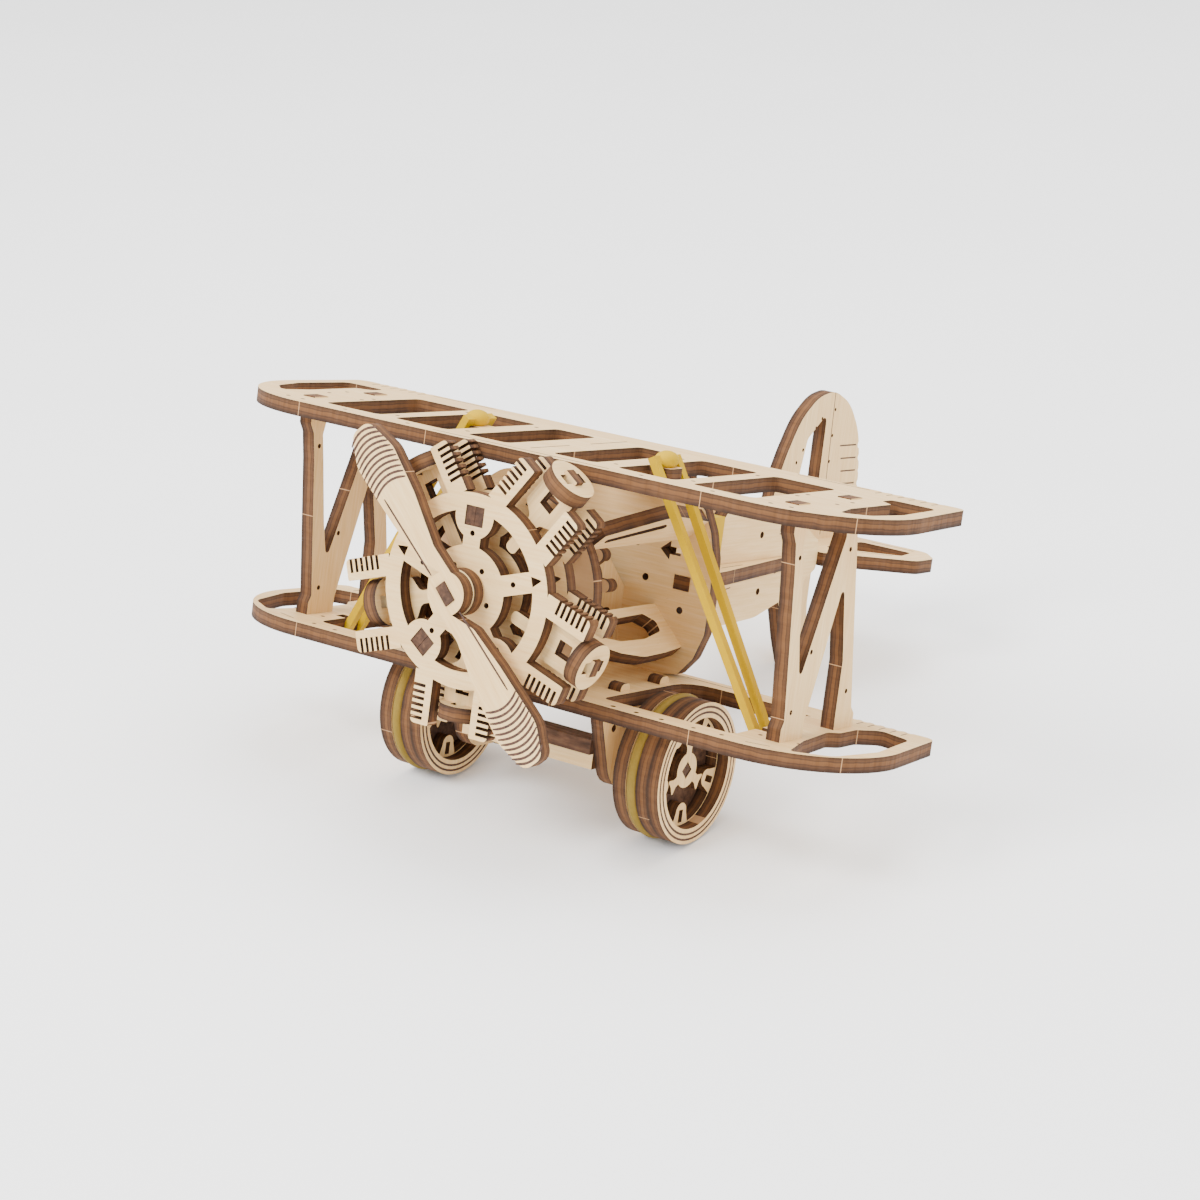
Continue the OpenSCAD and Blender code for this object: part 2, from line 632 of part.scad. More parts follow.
// where layer k of a wheel starts; both wheels are stacked the same way round
function layer_x(side, k) = (side > 0 ? track_x - wheel_w : -track_x)
    + (k > 0 ? wheel_layers[0] : 0) + (k > 1 ? wheel_layers[1] : 0) + (k > 2 ? wheel_layers[2] : 0);

module wheel_layer(side, k, tone) {
    color(tone) posed() translate([0, axle_y, axle_z])
        side_sheet(layer_x(side, k), wheel_layers[k]) children();
}

module wheel_inner(side) {
    wheel_layer(side, 0, birch) difference() {
        ring2(wheel_r, axle_r + slip);
        for (i = [0:4]) rotate(i * 72 + 54)
            polygon(rounded([[5.4, -2.4, 1.2], [10.8, -4.4, 1.6], [10.8, 4.4, 1.6], [5.4, 2.4, 1.2]]));
    }
}

// the smaller disc that carries the tyre band
module wheel_carrier(side) {
    wheel_layer(side, 1, burnt) ring2(tyre_r - 1.7, axle_r + slip);
}

module tyre_band(side) {
    color(khaki) posed() translate([layer_x(side, 1) + wheel_layers[1] / 2, axle_y, axle_z])
        rotate([0, 90, 0]) rotate_extrude($fn = 72) translate([tyre_r - 1.1, 0])
            intersection() {
                circle(1.1, $fn = 20);
                translate([-0.5, -1.15]) square([2, 2.3]);
            }
}

// the outer disc: a rim with five round-ended tabs that point inwards
module wheel_rim(side) {
    wheel_layer(side, 2, birch) difference() {
        union() {
            ring2(wheel_r, 11.2);
            for (i = [0:4]) rotate(i * 72 - 90) {
                translate([8.6, 0]) circle(1.9, $fn = 24);
                polygon([[8.6, -1.9], [11.6, -3], [11.6, 3], [8.6, 1.9]]);
            }
        }
        for (i = [0:4]) rotate(i * 72 - 90) box2(8.2, -0.7, 10.8, 0.7);
    }
}

module wheel_face(side) {
    wheel_layer(side, 3, birch) ring2(wheel_r, 11.4);
}

// the three-pronged hub plate; the right one has a square hole set on its corner
module wheel_hub(side) {
    wheel_layer(side, 2, birch) difference() {
        union() {
            circle(3.6, $fn = 36);
            for (i = [0:2]) rotate(i * 120 + 90)
                polygon(rounded([[2, -1, 0], [4.5, -0.9, 0.8], [6.4, -2, 0.3], [6, 0, 0.3],
                    [6.4, 2, 0.3], [4.5, 0.9, 0.8], [2, 1, 0]]));
        }
        if (side > 0) rotate(45) square(2.4 + 2 * slip, center = true);
        else circle(axle_r + slip);
    }
}

// ---- elastic bands -----------------------------------------------------------------

band_w = 1.6;                 // thickness of an elastic strand
band_end = 1.7;               // width of a strand

// the loop from the hook of the upper wing down to the hook of the lower wing; it is a flat
// ring that leans outwards, drawn in Y and Z below its top end
module bracing_band(side) {
    top_x = 22.3;
    low_x = 51.9;
    top_z = gap + t + 1.9;
    drop = top_z + t + 1.2;
    len = norm([low_x - top_x, drop]) + band_end / 2;
    color(elastic) posed() translate([side * top_x, 0, top_z])
        rotate([0, -side * atan((low_x - top_x) / drop), 0]) side_sheet(-band_w / 2, band_w)
            difference() {
                polygon([[9.2, 0], [15.3, -len], [21.1, -len], [18.8, 0]]);
                polygon([[10.9, -band_end], [17, -len + band_end], [19.4, -len + band_end],
                    [17.1, -band_end]]);
            }
}

// the flat elastic ring around both tail sides
module tail_band() {
    x_out = tail_side_x + t + 0.1;
    color(elastic) posed() translate([0, 50.6, 0]) rotate([90, 0, 0]) mirror([0, 0, 1])
        linear_extrude(7.6) difference() {
            box2(-x_out - 0.9, tail_top_z + 0.15, x_out + 0.9, 31.6);
            box2(-x_out, tail_top_z + 1.05, x_out, 30.7);
        }
}

upper_wing();
lower_wing();
strut(-1);  // strut_left
strut(1);  // strut_right
body_frame();
bearing(-5.8);  // bearing_outer
bearing(-1.5);  // bearing_inner
tail_side(-1);  // tail_side_left
tail_side(1);  // tail_side_right
tail_plate();
fin();
tail_skid();
firewall();
upper_fin(-1);  // upper_fin_left
upper_fin(1);  // upper_fin_right
lower_fin(-1);  // lower_fin_left
lower_fin(1);  // lower_fin_right
star_plate(star_y);  // star_front
star_plate(rear_star_y);  // star_rear
engine_posts();
gear_leg(-1);  // gear_leg_left
gear_leg(1);  // gear_leg_right
spreader();
spreader_web();
drive_belt();
bracing_band(-1);  // band_left
bracing_band(1);  // band_right
tail_band();
propeller();
prop_spacer();
prop_shaft();
crank();
prop_gear();
cross_shaft();
cross_gear();
pulley(cross_pulley_r, shaft_r, cross_y, engine_z);  // cross_pulley
axle();
pulley(axle_pulley_r, axle_r, axle_y, axle_z);  // axle_pulley
wheel_inner(-1);  // wheel_inner_left
wheel_carrier(-1);  // wheel_carrier_left
tyre_band(-1);  // tyre_band_left
wheel_rim(-1);  // wheel_rim_left
wheel_face(-1);  // wheel_face_left
wheel_hub(-1);  // wheel_hub_left
wheel_inner(1);  // wheel_inner_right
wheel_carrier(1);  // wheel_carrier_right
tyre_band(1);  // tyre_band_right
wheel_rim(1);  // wheel_rim_right
wheel_face(1);  // wheel_face_right
wheel_hub(1);  // wheel_hub_right
piston(0);  // piston_1
piston(1);  // piston_2
piston(2);  // piston_3
piston(3);  // piston_4
piston(4);  // piston_5
piston_crown(0);  // crown_1
piston_crown(1);  // crown_2
piston_crown(2);  // crown_3
piston_crown(3);  // crown_4
piston_crown(4);  // crown_5
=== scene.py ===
"""Looks of a laser-cut plywood biplane kit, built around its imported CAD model."""

import json
import math

import bmesh
import bpy
from mathutils import Matrix, Vector


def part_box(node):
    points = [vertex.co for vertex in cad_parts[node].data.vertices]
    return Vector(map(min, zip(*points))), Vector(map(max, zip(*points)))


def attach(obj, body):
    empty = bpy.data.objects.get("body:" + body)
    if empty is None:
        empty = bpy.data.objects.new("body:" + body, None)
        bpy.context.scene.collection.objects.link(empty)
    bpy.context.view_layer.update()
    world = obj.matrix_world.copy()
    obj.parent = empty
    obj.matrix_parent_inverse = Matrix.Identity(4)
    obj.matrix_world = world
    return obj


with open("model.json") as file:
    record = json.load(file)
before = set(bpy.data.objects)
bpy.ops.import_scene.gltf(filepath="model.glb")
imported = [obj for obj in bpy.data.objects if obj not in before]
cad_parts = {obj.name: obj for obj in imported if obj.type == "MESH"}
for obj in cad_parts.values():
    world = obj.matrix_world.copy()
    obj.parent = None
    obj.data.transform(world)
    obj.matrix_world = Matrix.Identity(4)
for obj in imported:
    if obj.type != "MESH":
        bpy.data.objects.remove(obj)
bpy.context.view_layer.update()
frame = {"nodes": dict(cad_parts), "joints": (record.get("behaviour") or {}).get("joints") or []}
nodes = frame["nodes"]
MM = 0.001

# ---- the level frame of the airframe, found from the joints ------------------------------

joints = {j["name"]: j for j in frame["joints"]}
engine_axis = Vector(joints["prop_spin"]["axis"])
PITCH = math.atan2(-engine_axis.z, engine_axis.y)
AXLE_Y = 23.0  # where the axle lies in the level frame, in mm
AXLE_Z = -14.0
ENGINE_Z = 18.8
LEVEL_TO_WORLD = Matrix.Rotation(-PITCH, 3, "X")
level_origin = Vector(joints["axle_spin"]["pos_m"]) - LEVEL_TO_WORLD @ Vector((0, AXLE_Y, AXLE_Z)) * MM


def place(x, y, z):
    """A point of the level frame in mm, as a world point in metres."""
    return level_origin + LEVEL_TO_WORLD @ Vector((x, y, z)) * MM


def direction(x, y, z):
    return (LEVEL_TO_WORLD @ Vector((x, y, z))).normalized()


# ---- camera ------------------------------------------------------------------------------

camera_data = bpy.data.cameras.new("camera")
camera_data.lens = 90
camera_data.sensor_width = 36
camera_data.clip_start = 0.02
camera_data.clip_end = 50
camera = bpy.data.objects.new("camera", camera_data)
bpy.context.scene.collection.objects.link(camera)
bpy.context.scene.camera = camera
CAMERA_AZIMUTH = math.radians(34.6)
CAMERA_ELEVATION = math.radians(21.4)
camera_back = Vector((
    math.sin(CAMERA_AZIMUTH) * math.cos(CAMERA_ELEVATION),
    -math.cos(CAMERA_AZIMUTH) * math.cos(CAMERA_ELEVATION),
    math.sin(CAMERA_ELEVATION),
))
camera.location = place(326.47, -479.57, 123.61)
camera.rotation_mode = "QUATERNION"
camera.rotation_quaternion = (-camera_back).to_track_quat("-Z", "Y")


# ---- materials ---------------------------------------------------------------------------

def srgb(r, g, b):
    """A colour written as 0..255 screen values, as linear RGBA."""
    def linear(v):
        v /= 255
        return v / 12.92 if v <= 0.04045 else ((v + 0.055) / 1.055) ** 2.4
    return (linear(r), linear(g), linear(b), 1.0)


class Nodes:
    """Short calls that add nodes to one node tree and join them."""

    def __init__(self, tree):
        self.tree = tree

    def add(self, kind, **settings):
        node = self.tree.nodes.new(kind)
        for key, value in settings.items():
            setattr(node, key, value)
        return node

    def join(self, value, socket):
        if hasattr(value, "is_output"):
            self.tree.links.new(value, socket)
        elif value is not None:
            socket.default_value = value

    def math(self, operation, a, b=0.0, c=None):
        node = self.add("ShaderNodeMath", operation=operation)
        self.join(a, node.inputs[0])
        self.join(b, node.inputs[1])
        self.join(c, node.inputs[2])
        return node.outputs[0]

    def vector(self, operation, a, b=None, scale=None):
        node = self.add("ShaderNodeVectorMath", operation=operation)
        self.join(a, node.inputs[0])
        self.join(b, node.inputs[1])
        if operation == "SCALE":
            self.join(scale, node.inputs[3])
        return node.outputs["Value" if operation == "DOT_PRODUCT" else "Vector"]

    def noise(self, where, seed, scale, detail=3.0, roughness=0.55):
        node = self.add("ShaderNodeTexNoise", noise_dimensions="4D")
        self.join(where, node.inputs["Vector"])
        self.join(seed, node.inputs["W"])
        node.inputs["Scale"].default_value = scale
        node.inputs["Detail"].default_value = detail
        node.inputs["Roughness"].default_value = roughness
        return node.outputs[0]

    def span(self, value, low, high, to_low=0.0, to_high=1.0, smooth=False):
        node = self.add("ShaderNodeMapRange", clamp=True)
        node.interpolation_type = "SMOOTHSTEP" if smooth else "LINEAR"
        self.join(value, node.inputs["Value"])
        for name, number in (("From Min", low), ("From Max", high), ("To Min", to_low), ("To Max", to_high)):
            node.inputs[name].default_value = number
        return node.outputs["Result"]

    def mix(self, factor, a, b, blend="MIX"):
        node = self.add("ShaderNodeMix", data_type="RGBA", blend_type=blend)
        self.join(factor, node.inputs[0])
        self.join(a, node.inputs[6])
        self.join(b, node.inputs[7])
        return node.outputs[2]

    def ramp(self, value, stops):
        node = self.add("ShaderNodeValToRGB")
        self.join(value, node.inputs[0])
        elements = node.color_ramp.elements
        while len(elements) < len(stops):
            elements.new(0.5)
        for element, (position, colour) in zip(elements, stops):
            element.position = position
            element.color = colour
        return node.outputs[0]

    def combine(self, x, y, z):
        node = self.add("ShaderNodeCombineXYZ")
        for value, socket in zip((x, y, z), node.inputs):
            self.join(value, socket)
        return node.outputs[0]


def make_ply_group():
    """Plywood cut by laser: pale birch faces, burnt edges with the plies showing."""
    tree = bpy.data.node_groups.new("ply", "ShaderNodeTree")
    n = Nodes(tree)
    for name, kind in (
        ("Sheet normal", "NodeSocketVector"), ("Grain", "NodeSocketVector"), ("Across", "NodeSocketVector"),
        ("Offset", "NodeSocketFloat"), ("Thickness", "NodeSocketFloat"), ("Seed", "NodeSocketFloat"),
        ("Painted shade", "NodeSocketFloat"),
    ):
        tree.interface.new_socket(name, in_out="INPUT", socket_type=kind)
    for name, kind in (
        ("Color", "NodeSocketColor"), ("Roughness", "NodeSocketFloat"), ("Height", "NodeSocketFloat"),
    ):
        tree.interface.new_socket(name, in_out="OUTPUT", socket_type=kind)
    given = n.add("NodeGroupInput").outputs
    result = n.add("NodeGroupOutput").inputs

    coordinates = n.add("ShaderNodeTexCoord").outputs
    mm = n.vector("SCALE", coordinates["Object"], scale=1000.0)
    normal = given["Sheet normal"]
    depth = n.math("SUBTRACT", n.vector("DOT_PRODUCT", mm, normal), given["Offset"])
    level = n.math("DIVIDE", depth, given["Thickness"])
    along = n.vector("DOT_PRODUCT", mm, given["Grain"])
    across = n.vector("DOT_PRODUCT", mm, given["Across"])
    facing = n.math("ABSOLUTE", n.vector("DOT_PRODUCT", coordinates["Normal"], normal))
    face = n.span(facing, 0.55, 0.75, smooth=True)

    # the birch face: long fine grain, broad flame, short dark pores
    fine = n.noise(n.combine(n.math("MULTIPLY", along, 0.09), n.math("MULTIPLY", across, 1.9), depth),
                   given["Seed"], 1.0, 4.0, 0.6)
    broad = n.noise(n.combine(n.math("MULTIPLY", along, 0.022), n.math("MULTIPLY", across, 0.16), 0.0),
                    given["Seed"], 1.0, 2.0)
    pores = n.noise(n.combine(n.math("MULTIPLY", along, 0.7), n.math("MULTIPLY", across, 5.5), 0.0),
                    given["Seed"], 1.0, 1.0)
    birch = n.ramp(fine, [
        (0.25, srgb(208, 168, 110)), (0.5, srgb(220, 185, 130)), (0.75, srgb(230, 200, 150)),
    ])
    birch = n.mix(n.span(broad, 0.35, 0.7, 0.0, 0.45), birch, srgb(206, 166, 108))
    birch = n.mix(n.span(pores, 0.69, 0.74, 0.0, 0.3), birch, srgb(160, 122, 84))
    # painted shade: this mix darkens the birch face toward a shaded tan, for sheets that sit in the body's
    # shadow
    birch = n.mix(given["Painted shade"], birch, srgb(182, 144, 104))

    # the burnt edge: three plies, scorched towards the far side, streaked across the sheet
    wobble = n.noise(n.vector("SCALE", mm, scale=0.35), given["Seed"], 1.0, 2.0)
    shifted = n.math("ADD", level, n.math("MULTIPLY", n.math("SUBTRACT", wobble, 0.5), 0.22))
    burnt = n.ramp(shifted, [
        (0.0, srgb(44, 27, 15)), (0.16, srgb(58, 36, 20)), (0.30, srgb(84, 53, 29)), (0.37, srgb(60, 37, 20)),
        (0.44, srgb(98, 63, 34)), (0.64, srgb(106, 69, 37)), (0.70, srgb(66, 42, 23)),
        (0.78, srgb(90, 58, 31)), (0.93, srgb(72, 46, 25)), (1.0, srgb(48, 30, 17)),
    ])
    flat = n.vector("SUBTRACT", mm, n.vector("SCALE", normal, scale=n.math("MULTIPLY", depth, 0.93)))
    streaks = n.noise(flat, given["Seed"], 1.1, 4.0, 0.7)
    soot = n.noise(n.vector("SCALE", mm, scale=0.12), given["Seed"], 1.0, 2.0)
    burnt = n.mix(n.span(streaks, 0.45, 0.75, 0.0, 0.3), burnt, srgb(38, 24, 14))
    burnt = n.mix(n.span(soot, 0.52, 0.75, 0.0, 0.35), burnt, srgb(122, 82, 46))
    # the pale nick left where a part was snapped out of its sheet
    run = n.math("ADD", n.math("MULTIPLY", along, 0.031), n.math("MULTIPLY", across, 0.013))
    nick = n.math("LESS_THAN", n.math("FRACT", n.math("ADD", run, given["Seed"])), 0.005)
    burnt = n.mix(n.math("MULTIPLY", nick, 0.6), burnt, srgb(212, 166, 118))

    n.join(n.mix(face, burnt, birch), result["Color"])
    rough_face = n.span(fine, 0.3, 0.7, 0.62, 0.5)
    rough_edge = n.span(streaks, 0.3, 0.7, 0.7, 0.9)
    blend = n.add("ShaderNodeMix", data_type="FLOAT")
    n.join(face, blend.inputs[0])
    n.join(rough_edge, blend.inputs[2])
    n.join(rough_face, blend.inputs[3])
    n.join(blend.outputs[0], result["Roughness"])
    relief = n.add("ShaderNodeMix", data_type="FLOAT")
    n.join(face, relief.inputs[0])
    n.join(streaks, relief.inputs[2])
    n.join(n.math("MULTIPLY", fine, 0.45), relief.inputs[3])
    n.join(relief.outputs[0], result["Height"])
    return tree


ply_group = make_ply_group()


def start_material(name):
    material = bpy.data.materials.new(name)
    material.use_nodes = True
    n = Nodes(material.node_tree)
    shader = material.node_tree.nodes["Principled BSDF"]
    return material, n, shader


def add_bump(n, shader, height, distance, strength=0.6):
    bump = n.add("ShaderNodeBump")
    bump.inputs["Strength"].default_value = strength
    bump.inputs["Distance"].default_value = distance
    n.join(height, bump.inputs["Height"])
    n.join(bump.outputs[0], shader.inputs["Normal"])


def ply(name, normal, grain, offset, thickness, seed, painted_shade=0.0):
    material, n, shader = start_material(name)
    group = n.add("ShaderNodeGroup", node_tree=ply_group)
    across = normal.cross(grain)
    for key, value in (
        ("Sheet normal", normal), ("Grain", grain), ("Across", across), ("Offset", offset),
        ("Thickness", thickness), ("Seed", seed), ("Painted shade", painted_shade),
    ):
        group.inputs[key].default_value = value
    n.join(group.outputs["Color"], shader.inputs["Base Color"])
    n.join(group.outputs["Roughness"], shader.inputs["Roughness"])
    shader.inputs["Specular IOR Level"].default_value = 0.3
    add_bump(n, shader, group.outputs["Height"], 0.00006)
    return material


def give(node, material):
    materials = nodes[node].data.materials
    materials.clear()
    materials.append(material)


def sheet_ply(node, normal, grain, painted_shade=0.0):
    """Gives a CAD node cut from one sheet its plywood; the sheet's place comes from its mesh."""
    levels = [normal.dot(v.co) * 1000 for v in nodes[node].data.vertices]
    seed = sum(ord(c) for c in node) * 0.37
    give(node, ply("ply_" + node, normal, grain, min(levels), max(levels) - min(levels), seed, painted_shade))


UP = direction(0, 0, 1)
AFT = direction(0, 1, 0)
SIDE = Vector((1, 0, 0))

for node in ("upper_wing", "lower_wing"):
    sheet_ply(node, UP, SIDE)
sheet_ply("tail_plate", UP, AFT)
for side in ("left", "right"):
    for node in ("strut_", "gear_leg_"):
        sheet_ply(node + side, SIDE, UP)
    sheet_ply("tail_side_" + side, SIDE, AFT)
    for node in ("wheel_inner_", "wheel_rim_", "wheel_face_", "wheel_hub_"):
        sheet_ply(node + side, SIDE, UP)
for node in (
    "fin", "tail_skid", "bearing_outer", "bearing_inner", "cross_gear", "cross_pulley", "axle_pulley",
):
    sheet_ply(node, SIDE, UP)
for node in ("body_frame", "spreader_web", "star_front", "star_rear", "prop_spacer"):
    sheet_ply(node, AFT, SIDE)
# painted shade: the firewall and prop gear sit in the body's shadow, so their faces are mixed toward a darker
# tan
for node in ("firewall", "prop_gear"):
    sheet_ply(node, AFT, SIDE, 0.85)
# each cowl fin is a sheet tilted about the engine axis
FIN_TILT = math.radians(43.5)
for side, sign in (("left", -1), ("right", 1)):
    for level, up in (("upper", 1), ("lower", -1)):
        across_fin = direction(-sign * up * math.sin(FIN_TILT), 0, math.cos(FIN_TILT))
        sheet_ply(f"{level}_fin_{side}", across_fin, AFT)
BLADE_DEGREES = 133
blade_run = math.radians(BLADE_DEGREES)
sheet_ply("propeller", AFT, direction(math.cos(blade_run), 0, math.sin(blade_run)))
CYLINDERS = [54, 126, 198, 270, 342]  # degrees about the engine axis
for number, degrees in enumerate(CYLINDERS, 1):
    outward = direction(math.cos(math.radians(degrees)), 0, math.sin(math.radians(degrees)))
    sheet_ply(f"piston_{number}", AFT, outward)
    sheet_ply(f"crown_{number}", outward, AFT)


def burnt_wood(name, light, dark, stretch):
    """Strips and shafts seen edge-on, burnt all round."""
    material, n, shader = start_material(name)
    where = n.vector("MULTIPLY", n.add("ShaderNodeTexCoord").outputs["Object"], stretch)
    grain = n.noise(where, 0.0, 1.0, 4.0, 0.6)
    blotch = n.noise(where, 7.0, 0.25, 2.0)
    colour = n.ramp(grain, [(0.3, dark), (0.55, light), (0.8, srgb(112, 78, 51))])
    colour = n.mix(n.span(blotch, 0.4, 0.7, 0.0, 0.6), colour, dark)
    n.join(colour, shader.inputs["Base Color"])
    n.join(n.span(grain, 0.3, 0.7, 0.85, 0.65), shader.inputs["Roughness"])
    shader.inputs["Specular IOR Level"].default_value = 0.3
    add_bump(n, shader, grain, 0.00008)
    return material


post_wood = burnt_wood("burnt_strip", srgb(78, 51, 34), srgb(46, 30, 21), (900, 250, 900))
shaft_wood = burnt_wood("burnt_shaft", srgb(84, 56, 37), srgb(50, 33, 23), (250, 900, 900))
for node in ("engine_posts", "prop_shaft", "crank"):
    give(node, post_wood)
for node in ("axle", "cross_shaft", "spreader", "wheel_carrier_left", "wheel_carrier_right"):
    give(node, shaft_wood)


def rubber(name, colour, worn, scale):
    material, n, shader = start_material(name)
    where = n.vector("SCALE", n.add("ShaderNodeTexCoord").outputs["Object"], scale=1000.0)
    fine = n.noise(where, 0.0, scale, 4.0, 0.6)
    broad = n.noise(where, 3.0, 0.15, 2.0)
    shade = n.mix(n.span(fine, 0.4, 0.75, 0.0, 0.35), colour, worn)
    shade = n.mix(n.span(broad, 0.4, 0.7, 0.0, 0.3), shade, worn)
    n.join(shade, shader.inputs["Base Color"])
    n.join(n.span(fine, 0.3, 0.7, 0.5, 0.7), shader.inputs["Roughness"])
    shader.inputs["Specular IOR Level"].default_value = 0.12
    add_bump(n, shader, fine, 0.00003)
    return material


yellow = rubber("elastic_yellow", srgb(178, 142, 0), srgb(194, 158, 0), 1.4)
khaki = rubber("elastic_khaki", srgb(120, 98, 36), srgb(142, 118, 56), 1.1)
for node in ("drive_belt", "tail_band", "band_left", "band_right"):
    give(node, yellow)
    soften = nodes[node].modifiers.new("soft edges", "BEVEL")
    soften.width = 0.25 * MM
    soften.segments = 3
    soften.limit_method = "ANGLE"
for node in ("tyre_band_left", "tyre_band_right"):
    give(node, khaki)


def engraving_material():
    material, n, shader = start_material("engraved_line")
    where = n.vector("SCALE", n.add("ShaderNodeTexCoord").outputs["Object"], scale=1000.0)
    grain = n.noise(where, 0.0, 1.3, 3.0)
    n.join(n.ramp(grain, [(0.3, srgb(44, 28, 23)), (0.7, srgb(84, 56, 42))]), shader.inputs["Base Color"])
    shader.inputs["Roughness"].default_value = 0.85
    return material


engraved = engraving_material()

# ---- engraved lines ----------------------------------------------------------------------

LINE_LIFT = 0.03  # how far an engraved line stands proud, so that it always shows
LINE_DEPTH = 0.05


def engrave(name, body, surface, lines):
    """Thin closed strips along the lines. surface(u, v, h) is the point h mm above (u, v)."""
    mesh = bpy.data.meshes.new(name)
    bm = bmesh.new()
    for line in lines:
        points, width = line[:-1], line[-1]
        count = len(points)
        rings = []
        for i, (u, v) in enumerate(points):
            before = points[max(0, i - 1)]
            after = points[min(count - 1, i + 1)]
            run = Vector((after[0] - before[0], after[1] - before[1])).normalized()
            half = width / 2 * (0.55 if i in (0, count - 1) else 1.0)
            left, right = (u - run.y * half, v + run.x * half), (u + run.y * half, v - run.x * half)
            corners = [(*left, -LINE_DEPTH), (*left, LINE_LIFT), (*right, LINE_LIFT), (*right, -LINE_DEPTH)]
            rings.append([bm.verts.new(surface(*c)) for c in corners])
        for a, b in zip(rings, rings[1:]):
            for k in range(4):
                bm.faces.new((a[k], a[(k + 1) % 4], b[(k + 1) % 4], b[k]))
        bm.faces.new(rings[0][::-1])
        bm.faces.new(rings[-1])
    bmesh.ops.recalc_face_normals(bm, faces=bm.faces)
    bm.to_mesh(mesh)
    bm.free()
    mesh.materials.append(engraved)
    piece = bpy.data.objects.new(name, mesh)
    bpy.context.scene.collection.objects.link(piece)
    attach(piece, body)


def straight(u0, v0, u1, v1, width=0.4):
    return [(u0, v0), (u1, v1), width]


def ring(cu, cv, r, width, steps=60):
    """A full circle about (cu, cv)."""
    angles = [math.radians(360 * i / steps) for i in range(steps + 1)]
    return [*[(cu + r * math.cos(a), cv + r * math.sin(a)) for a in angles], width]


def dot(u, v, r=0.42):
    return [(u - r, v), (u - r * 0.5, v), (u + r * 0.5, v), (u + r, v), 2 * r]


def level_top(z):
    return lambda u, v, h: place(u, v, z + h)


def side_face(x, sign):
    return lambda u, v, h: place(x + sign * h, u, v)


def front_face(y, degrees=0.0):
    """A sheet across the flight direction, its lines turned about the engine axis."""
    c, s = math.cos(math.radians(degrees)), math.sin(math.radians(degrees))
    return lambda u, v, h: place(u * c - v * s, y - h, ENGINE_Z + u * s + v * c)


def both(lines):
    """The lines and their mirror image across the centre line."""
    return lines + [[*[(-u, v) for u, v in line[:-1]], line[-1]] for line in lines]


SHEET = 3.0
GAP = 43.2
UPPER_TRAILING = 42.0
LOWER_TRAILING = 44.0
upper = both([
    straight(37.5, 40.6, 54, 40.6),
    *[straight(56.5 + 2.5 * i, 38.2, 56.5 + 2.5 * i, UPPER_TRAILING - 1.2) for i in range(6)],
    dot(56, -1.4), dot(60.2, -1.0), dot(52.8, 14), dot(52.8, 18), dot(61.5, 14), dot(61.5, 20), dot(44, -2.6),
    dot(28, -2.6), dot(35.6, 4), dot(35.6, 28), dot(17.9, 4), dot(17.9, 28),
])
upper += [straight(-21, -3.4, 21, -3.4, 0.5), straight(0, 0.6, 0, 14, 0.5), straight(0, 21.6, 0, 35, 0.5)]
engrave("engraving_upper_wing", "airframe", level_top(GAP + SHEET), upper)
lower = both([
    straight(18, 41.7, 36, 41.7), straight(55.4, 3, 60, 4.4, 0.3),
    *[straight(56.5 + 2.5 * i, 40.2, 56.5 + 2.5 * i, LOWER_TRAILING - 1.2) for i in range(6)],
    dot(54, 11), dot(54, 22), dot(44, 2.6), dot(50, 3.2), dot(62, 12),
])
lower += [straight(-16, 2.6, 16, 2.6)]
engrave("engraving_lower_wing", "airframe", level_top(0), lower)
TAIL_TOP = 21.0
engrave("engraving_tail_plate", "airframe", level_top(TAIL_TOP), both([
    straight(13.5, 57, 13.2, 66), straight(13, 112, 21, 119, 0.35), straight(9, 131, 20, 131, 0.35),
]))


STROKES = 11
STROKE_START = 23.6  # how far out from the axis the strokes begin
STROKE_PITCH = 1.15
STROKE_BULGE = 1.3


def blade_lines():
    """Curved strokes across both tips and one long line down each blade."""
    lines = []
    for s in (-1, 1):
        for i in range(STROKES):
            x = STROKE_START + STROKE_PITCH * i
            reach = 4.7 - 0.03 * (i - 4) ** 2
            stroke = []
            for step in range(9):
                across = step / 4 - 1
                stroke.append((s * (x + STROKE_BULGE * (1 - across ** 2)), s * (reach * across - 0.4)))
            lines.append([*stroke, 0.5])
        lines.append([*[(s * (4.6 + 1.5 * t), s * (0.9 + 0.11 * t)) for t in range(13)], 0.4])
    return lines


PROP_FRONT = -21.8
engrave("engraving_propeller", "prop_drive", front_face(PROP_FRONT, BLADE_DEGREES), blade_lines())

FIN_HALF = 1.5
TAIL_SIDE_OUTER = 11.0
for side, sign in (("left", -1), ("right", 1)):
    strokes = []
    for i in range(7):
        height = 24.5 + 3 * i
        strokes.append(straight(132.8 - 0.06 * i * i, height, 126.6 - 0.1 * i * i, height, 0.6))
    strokes.append(straight(117.4, 55.0, 119.6, 22.0, 0.4))
    engrave(f"engraving_fin_{side}", "airframe", side_face(sign * FIN_HALF, sign), strokes)
for side, sign in (("left", -1), ("right", 1)):
    strokes = [straight(60, 14.8, 66, 15.6), straight(84, 17.4, 92, 19.6), straight(84, 26.2, 90, 25.4)]
    engrave(f"engraving_tail_side_{side}", "airframe", side_face(sign * TAIL_SIDE_OUTER, sign), strokes)


def burst(cu, cv, inner, outer, count, start, end):
    """Short strokes of uneven length that point away from (cu, cv)."""
    lines = []
    for i in range(count):
        a = math.radians(start + (end - start) * i / max(1, count - 1))
        length = outer * (0.8 + 0.2 * ((i * 7) % 3) / 2)
        lines.append([
            (cu + inner * math.cos(a), cv + inner * math.sin(a)),
            (cu + length * math.cos(a), cv + length * math.sin(a)), 0.5,
        ])
    return lines


FRAME_FRONT = 39.0
BURST_V = 39.7 - ENGINE_Z
bursts = [line for u in (-9, 0, 9) for line in burst(u, BURST_V, 0.9, 3.2, 12, 0, 330)]
engrave("engraving_body_frame", "airframe", front_face(FRAME_FRONT), bursts)


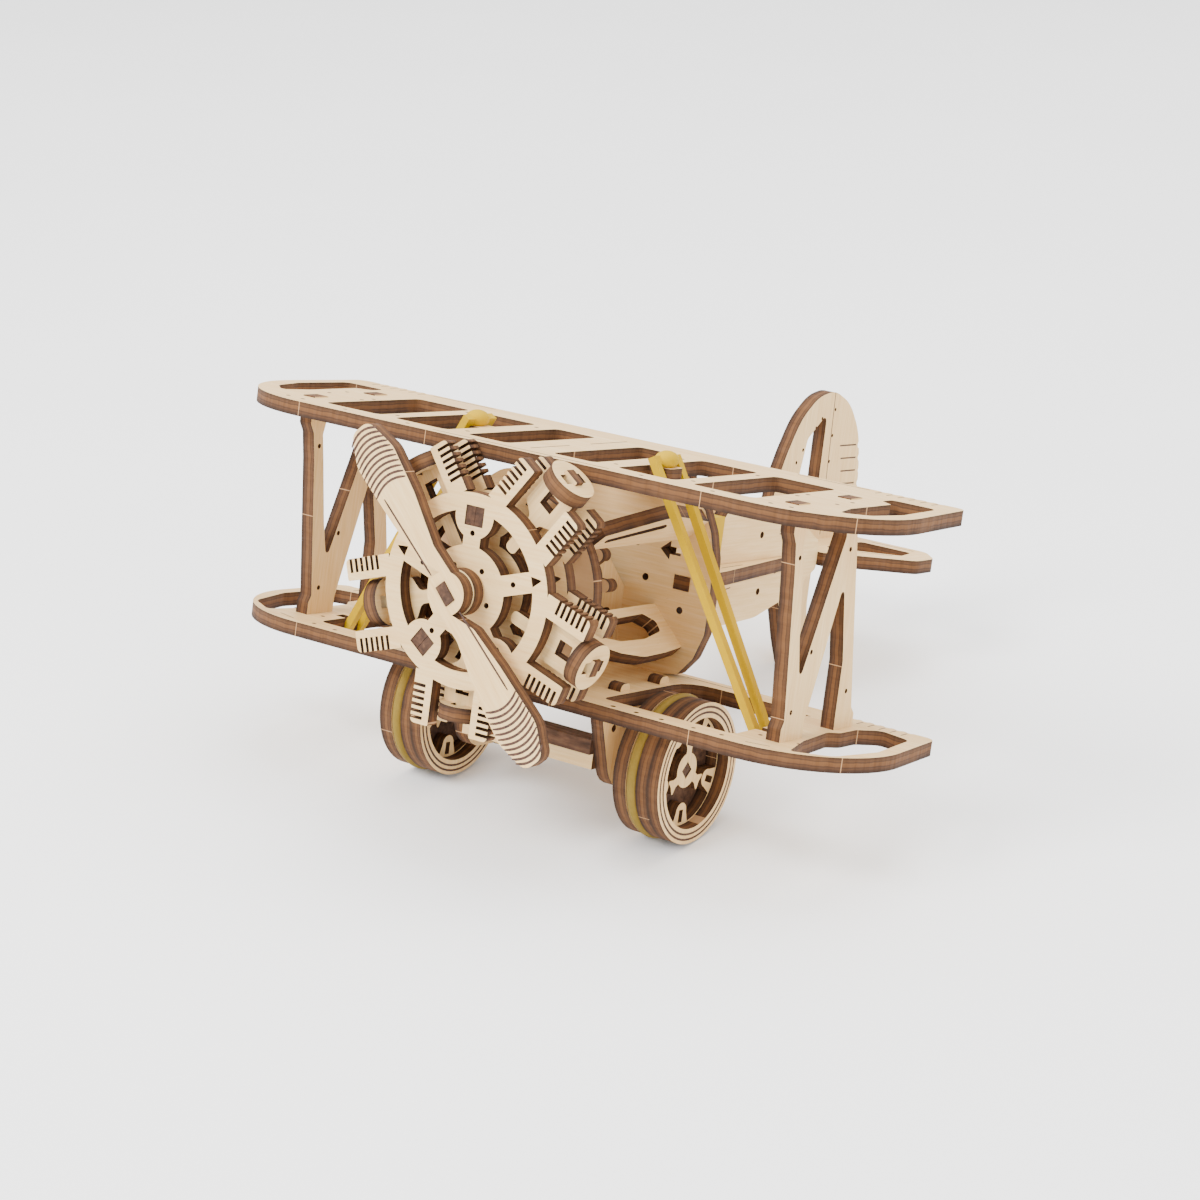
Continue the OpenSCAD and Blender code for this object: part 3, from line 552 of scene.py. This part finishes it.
def rings_on_wheel(name, x, sign, radii):
    lines = [ring(AXLE_Y, AXLE_Z, r, 0.45) for r in radii]
    engrave(name, "wheelset", side_face(x, sign), lines)


RING_RADII = (12.5, 13.6)
outer_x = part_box("wheel_face_right")[1].x / MM
rings_on_wheel("rings_right_outer", outer_x, 1, RING_RADII)
rings_on_wheel("rings_left_inner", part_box("wheel_face_left")[1].x / MM, 1, RING_RADII)
rings_on_wheel("rings_left_outer", -outer_x, -1, RING_RADII)

# ---- the bulge of each bracing band over its hook ---------------------------------------

for side in ("left", "right"):
    bpy.ops.mesh.primitive_uv_sphere_add(segments=40, ring_count=20, radius=1.0)
    bulge = bpy.context.object
    bulge.name = "band_bulge_" + side
    corners = [v.co for v in nodes["band_" + side].data.vertices]
    highest = max(UP.dot(corner) for corner in corners)
    end = [corner for corner in corners if UP.dot(corner) > highest - 0.5 * MM]
    top = sum(end, Vector()) / len(end)
    for vertex in bulge.data.vertices:
        x, y, z = vertex.co
        vertex.co = top + (SIDE * x * 2.2 + AFT * y * 3.0 + UP * (z * 1.8 - 0.9)) * MM
    bulge.data.shade_smooth()
    bulge.data.materials.append(yellow)
    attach(bulge, "airframe")

# ---- stage -------------------------------------------------------------------------------

bpy.ops.mesh.primitive_circle_add(vertices=96, radius=4.0, fill_type="NGON", location=(0, 0, 0))
floor = bpy.context.object
floor.name = "floor"
floor_material, n, shader = start_material("floor")
where = n.add("ShaderNodeTexCoord").outputs["Object"]
n.join(n.ramp(n.noise(where, 0.0, 6.0), [(0.3, (0.94, 0.94, 0.94, 1)), (0.7, (0.97, 0.97, 0.97, 1))]),
       shader.inputs["Base Color"])
shader.inputs["Roughness"].default_value = 0.9
shader.inputs["Specular IOR Level"].default_value = 0.1
floor.data.materials.append(floor_material)

world = bpy.data.worlds.new("studio")
bpy.context.scene.world = world
world.use_nodes = True
world.node_tree.nodes["Background"].inputs["Color"].default_value = (1.0, 1.0, 1.0, 1)
world.node_tree.nodes["Background"].inputs["Strength"].default_value = 1.8


def area_light(name, location, size, power, colour=(1, 1, 1)):
    data = bpy.data.lights.new(name, "AREA")
    data.shape = "DISK"
    data.size = size
    data.energy = power
    data.color = colour
    light = bpy.data.objects.new(name, data)
    bpy.context.scene.collection.objects.link(light)
    light.location = location
    target = Vector((0, 0, 0.04))
    light.rotation_mode = "QUATERNION"
    light.rotation_quaternion = (target - Vector(location)).to_track_quat("-Z", "Y")


area_light("key", (-0.35, -0.9, 0.9), 0.6, 22)
area_light("fill", (0.9, -0.3, 0.5), 0.8, 4)
area_light("top", (0.1, 0.3, 1.2), 0.9, 14)
